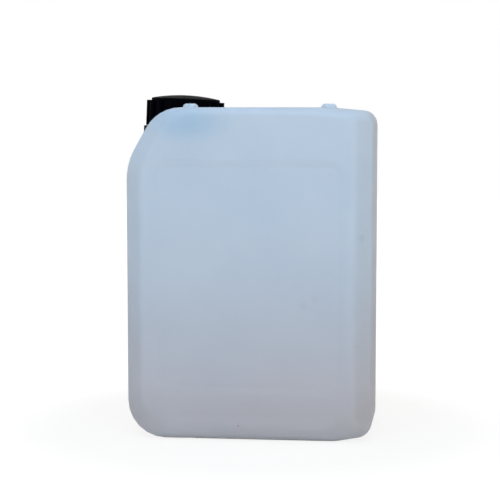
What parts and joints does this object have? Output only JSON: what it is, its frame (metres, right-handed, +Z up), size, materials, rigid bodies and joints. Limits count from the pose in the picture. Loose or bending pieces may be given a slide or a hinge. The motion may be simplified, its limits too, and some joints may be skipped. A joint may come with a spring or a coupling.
{
  "type": "jerry can",
  "caption": "Blow-moulded water jerry can with a sunk label panel, a moulded-in handle between two shoulders and a ribbed screw cap on a corner neck.",
  "frame": {"origin": "middle of the base, on the surface that the can stands on", "axes": "+Z up, +X to the right seen from the front, with the neck at the -X end, +Y to the back"},
  "size_m": [0.19, 0.14, 0.2636],
  "materials": {
    "natural_polyethylene": "translucent natural polyethylene, softly glossy",
    "black_polypropylene": "satin black moulded plastic",
    "liner_foam": "closed-cell foam, matt"
  },
  "bodies": {
    "can": {"can_body": "natural_polyethylene", "tamper_ring": "black_polypropylene"},
    "liner": {"cap_liner": "liner_foam"},
    "cap": {"screw_cap": "black_polypropylene"}
  },
  "joints": [
    {"name": "cap_lift", "type": "slide", "parent": "can", "child": "liner", "axis": [0.0436, 0, 0.999], "range_m": [0, 0.036]},
    {"name": "cap_turn", "type": "hinge", "parent": "liner", "child": "cap", "pos_m": [-0.0575, 0, 0.232], "axis": [0.0436, 0, 0.999], "range_deg": [0, 2160]}
  ],
  "couplings": [
    {"joint": "cap_lift", "follows": "cap_turn", "m_per_rad": 0.00095493}
  ]
}
